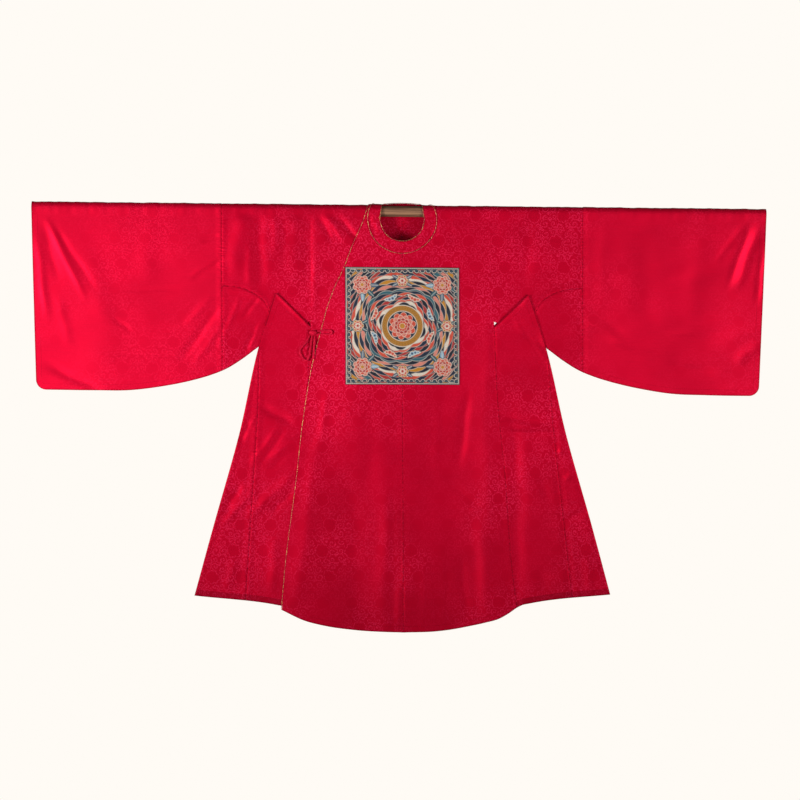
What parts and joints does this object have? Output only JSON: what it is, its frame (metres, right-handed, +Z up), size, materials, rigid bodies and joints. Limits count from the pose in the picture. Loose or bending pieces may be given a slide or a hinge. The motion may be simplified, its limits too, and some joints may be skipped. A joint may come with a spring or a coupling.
{
  "type": "hanfu robe on a hanging rod",
  "caption": "Round-collared red silk robe with wide sleeves, side wings and an embroidered chest square, hung on a wooden rod through its sleeves.",
  "frame": {"origin": "on the hanging rod's axis at the middle of the robe's neck", "axes": "+X along the rod to the wearer's left, -Y out of the robe's front, +Z up"},
  "size_m": [2.275, 0.0479, 1.3319],
  "materials": {
    "silk_damask": "satin damask",
    "gold_piping": "gold cord",
    "badge_embroidery": "embroidered silk",
    "ribbon_silk": "satin ribbon",
    "rod_wood": "satin"
  },
  "bodies": {
    "root": {"badge": "badge_embroidery", "collar": "silk_damask", "collar_piping_inner": "gold_piping", "collar_piping_outer": "gold_piping", "front_overlap": "silk_damask", "left_back_gusset": "silk_damask", "left_back_side_gore": "silk_damask", "left_back_side_panel": "silk_damask", "left_body_panel": "silk_damask", "left_front_gusset": "silk_damask", "left_front_side_gore": "silk_damask", "left_front_side_panel": "silk_damask", "left_sleeve": "silk_damask", "overlap_piping": "gold_piping", "right_back_gusset": "silk_damask", "right_back_side_gore": "silk_damask", "right_back_side_panel": "silk_damask", "right_body_panel": "silk_damask", "right_front_gusset": "silk_damask", "right_front_side_gore": "silk_damask", "right_front_side_panel": "silk_damask", "right_sleeve": "silk_damask", "rod": "rod_wood", "tie_knot": "ribbon_silk", "tie_loop": "ribbon_silk", "tie_strap": "ribbon_silk", "tie_tail": "ribbon_silk"}
  },
  "joints": []
}
